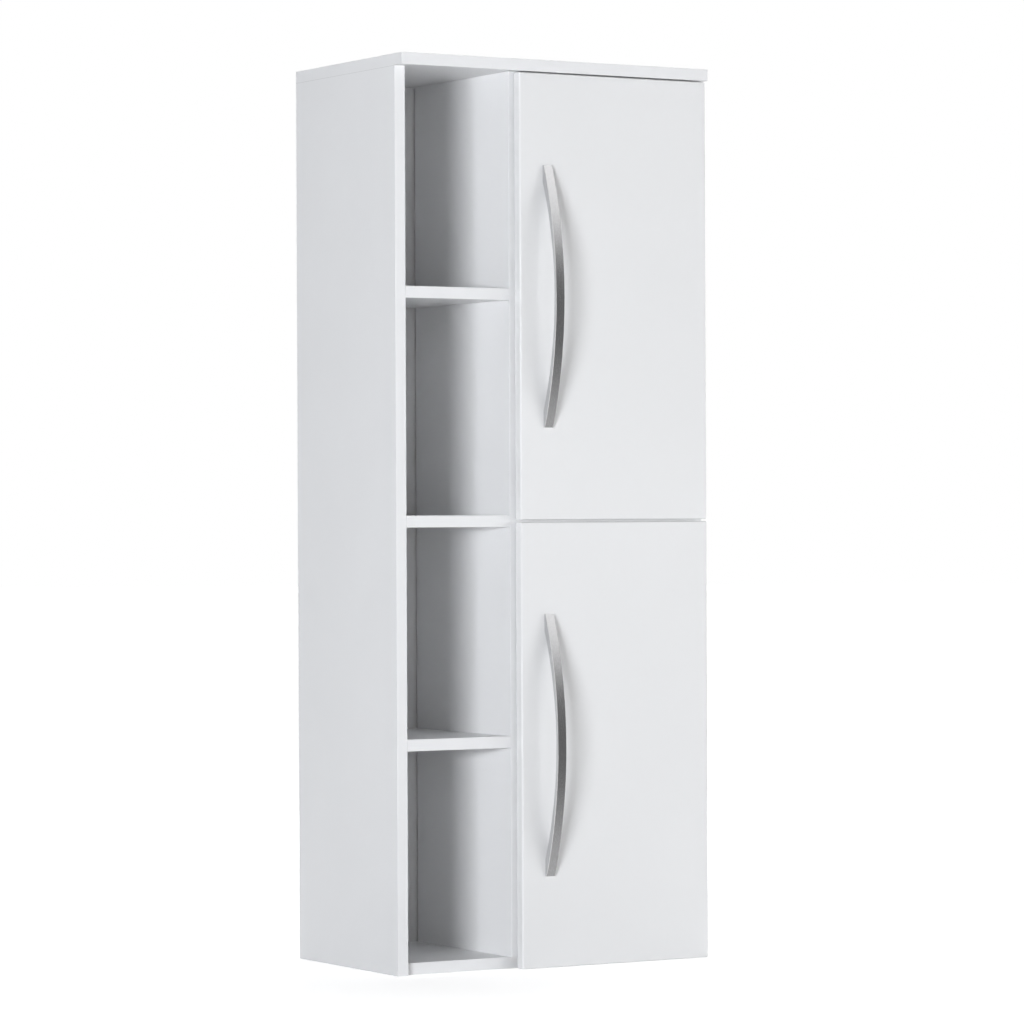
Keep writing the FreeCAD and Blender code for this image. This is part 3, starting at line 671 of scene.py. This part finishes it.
def make_world():
    """White for the camera and for reflections, and a faint sky that lights the object."""
    world = bpy.data.worlds.new("studio")
    bpy.context.scene.world = world
    world.use_nodes = True
    nodes = Nodes(world.node_tree)
    soft = nodes.tree.nodes["Background"]
    soft.inputs["Color"].default_value = (*SKY_LIGHT, 1.0)
    soft.inputs["Strength"].default_value = SKY_STRENGTH
    white = nodes.node("ShaderNodeBackground", {"Color": (1.0, 1.0, 1.0, 1.0), "Strength": 1.0})
    mixed = nodes.node("ShaderNodeMixShader", {0: nodes.sees_background(), 1: soft.outputs[0],
                                               2: white.outputs[0]})
    nodes.tree.links.new(mixed.outputs[0], nodes.tree.nodes["World Output"].inputs["Surface"])


def studio_object(name, made, height):
    """An object of the studio, and the nodes of its new material, of which there are none yet."""
    mesh = bpy.data.meshes.new(name)
    made.to_mesh(mesh)
    made.free()
    material = bpy.data.materials.new(name)
    material.use_nodes = True
    material.node_tree.nodes.clear()
    mesh.materials.append(material)
    piece = place_object(name, mesh)
    piece.location.z = height
    return piece, Nodes(material.node_tree)


def make_floor():
    """A pale floor that keeps the shadow near the object and runs out into the white backdrop."""
    made = bmesh.new()
    bmesh.ops.create_circle(made, cap_ends=True, segments=FLOOR_SIDES, radius=FLOOR_RADIUS)
    floor, nodes = studio_object("floor", made, -FLOOR_DROP)
    floor.visible_glossy = False
    place = nodes.node("ShaderNodeTexCoord").outputs["Object"]
    reach = nodes.node("ShaderNodeVectorMath", {0: place}, operation="LENGTH").outputs["Value"]
    fade = nodes.spread(reach, SHADOW_RADIUS, FADE_RADIUS, FLOOR_GLOW, 1.0,
                        interpolation_type="SMOOTHSTEP")
    shown = nodes.math("MULTIPLY", fade, nodes.sees_background())
    glow = nodes.node("ShaderNodeEmission", {"Strength": shown}).outputs[0]
    matt = nodes.node("ShaderNodeBsdfDiffuse", {"Color": (*FLOOR_COLOUR, 1.0)}).outputs[0]
    both = nodes.node("ShaderNodeAddShader", {0: matt, 1: glow}).outputs[0]
    nodes.node("ShaderNodeOutputMaterial", {"Surface": both})


def make_card():
    """A grey card, far off in front and to the right, that only reflections show: dark at the
    handles' height, paler towards the floor and white above."""
    made = bmesh.new()
    columns = []
    for step in range(CARD_STEPS + 1):
        turn = radians(CARD_FROM + (CARD_TO - CARD_FROM) * step / CARD_STEPS)
        columns.append([made.verts.new((CARD_RADIUS * sin(turn), -CARD_RADIUS * cos(turn),
                                        sign * CARD_RADIUS)) for sign in (-1, 1)])
    for left, right in zip(columns, columns[1:]):
        made.faces.new((left[0], right[0], right[1], left[1]))
    card, nodes = studio_object("card", made, AIM.z)
    card.visible_camera = card.visible_diffuse = card.visible_shadow = False
    card.visible_transmission = False

    place = nodes.node("ShaderNodeTexCoord").outputs["Object"]
    height = nodes.node("ShaderNodeSeparateXYZ", {0: place}).outputs["Z"]
    ramp = nodes.node("ShaderNodeValToRGB", {0: nodes.spread(height, -CARD_RADIUS, CARD_RADIUS)})
    stops = ramp.color_ramp.elements
    while len(stops) < len(CARD_SHADES):
        stops.new(0.5)
    for stop, (rise, shade) in zip(stops, sorted(CARD_SHADES.items())):
        stop.position = 0.5 + tan(radians(rise)) / 2
        stop.color = (shade, shade, shade, 1.0)
    glow = nodes.node("ShaderNodeEmission", {"Color": ramp.outputs[0], "Strength": CARD_STRENGTH})
    nodes.node("ShaderNodeOutputMaterial", {"Surface": glow.outputs[0]})


def make_studio():
    make_world()
    make_floor()
    softbox("key", azimuth=-54, rise=0.12, distance=6.0, width=2.0, height=0.6, power=280,
            colour=COOL_LIGHT)
    softbox("fill", azimuth=46, rise=0.0, distance=5.0, width=4.0, height=0.3, power=121)
    softbox("front", azimuth=0, rise=0.0, distance=3.4, width=0.9, height=0.3, power=7)
    softbox("top", azimuth=150, rise=3.0, distance=0.75, width=1.0, height=1.0, power=44)
    softbox("rear", azimuth=135, rise=0.3, distance=3.3, width=1.8, height=1.2, power=56)
    make_card()
    bpy.context.scene.view_settings.view_transform = "Standard"


make_camera()
dress_frame()
make_fittings()
make_studio()
